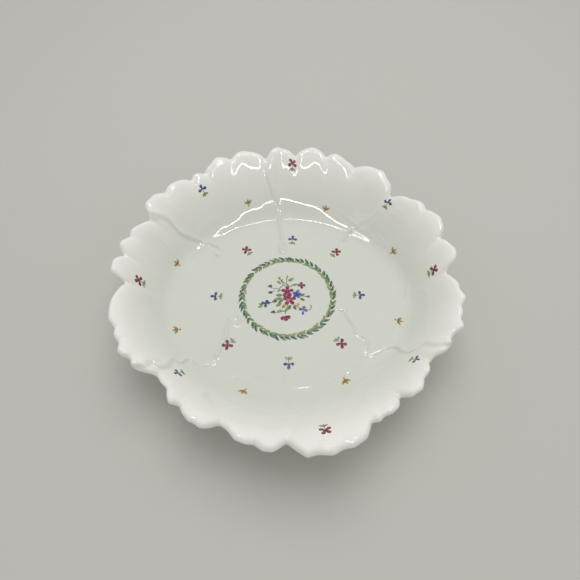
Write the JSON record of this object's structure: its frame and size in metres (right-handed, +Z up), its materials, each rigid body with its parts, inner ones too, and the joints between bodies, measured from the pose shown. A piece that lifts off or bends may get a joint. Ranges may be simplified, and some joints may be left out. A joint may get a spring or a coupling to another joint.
{
  "type": "porcelain serving bowl",
  "caption": "Wide leaf-moulded porcelain serving bowl with a scalloped ruffled rim on a round foot ring, decorated with a laurel wreath, a bouquet and scattered flower sprigs",
  "frame": {"origin": "middle of the plan on the plane the foot ring stands on", "axes": "+Z up out of the bowl, +Y towards the back as the bouquet's stems point, +X to the right of the bouquet"},
  "size_m": [0.2724, 0.2794, 0.0586],
  "materials": {
    "glazed_porcelain": "clear gloss glaze over white porcelain, slightly cool grey-green",
    "bare_porcelain": "unglazed fired tread, fine matt",
    "green_enamel": "on-glaze enamel, olive to teal green",
    "crimson_enamel": "on-glaze enamel, crimson to magenta",
    "blue_enamel": "on-glaze enamel, cornflower blue",
    "ochre_enamel": "on-glaze enamel, ochre and gold-brown"
  },
  "bodies": {
    "root": {"bowl_body": "glazed_porcelain", "foot_ring": "bare_porcelain", "wreath_transfer": "green_enamel", "bouquet_transfer": "crimson_enamel", "floor_sprig_blue_1": "blue_enamel", "floor_sprig_blue_2": "blue_enamel", "floor_sprig_blue_3": "blue_enamel", "floor_sprig_blue_4": "blue_enamel", "floor_sprig_red_1": "crimson_enamel", "floor_sprig_red_2": "crimson_enamel", "floor_sprig_red_3": "crimson_enamel", "floor_sprig_red_4": "crimson_enamel", "wall_sprig_gold_1": "ochre_enamel", "wall_sprig_gold_2": "ochre_enamel", "wall_sprig_gold_3": "ochre_enamel", "wall_sprig_gold_4": "ochre_enamel", "wall_sprig_gold_5": "ochre_enamel", "wall_sprig_gold_6": "ochre_enamel", "wall_sprig_gold_7": "ochre_enamel", "wall_sprig_gold_8": "ochre_enamel", "rim_sprig_red_1": "crimson_enamel", "rim_sprig_red_2": "crimson_enamel", "rim_sprig_red_3": "crimson_enamel", "rim_sprig_red_4": "crimson_enamel", "rim_sprig_blue_1": "blue_enamel", "rim_sprig_blue_2": "blue_enamel", "rim_sprig_blue_3": "blue_enamel", "rim_sprig_blue_4": "blue_enamel"}
  },
  "joints": []
}
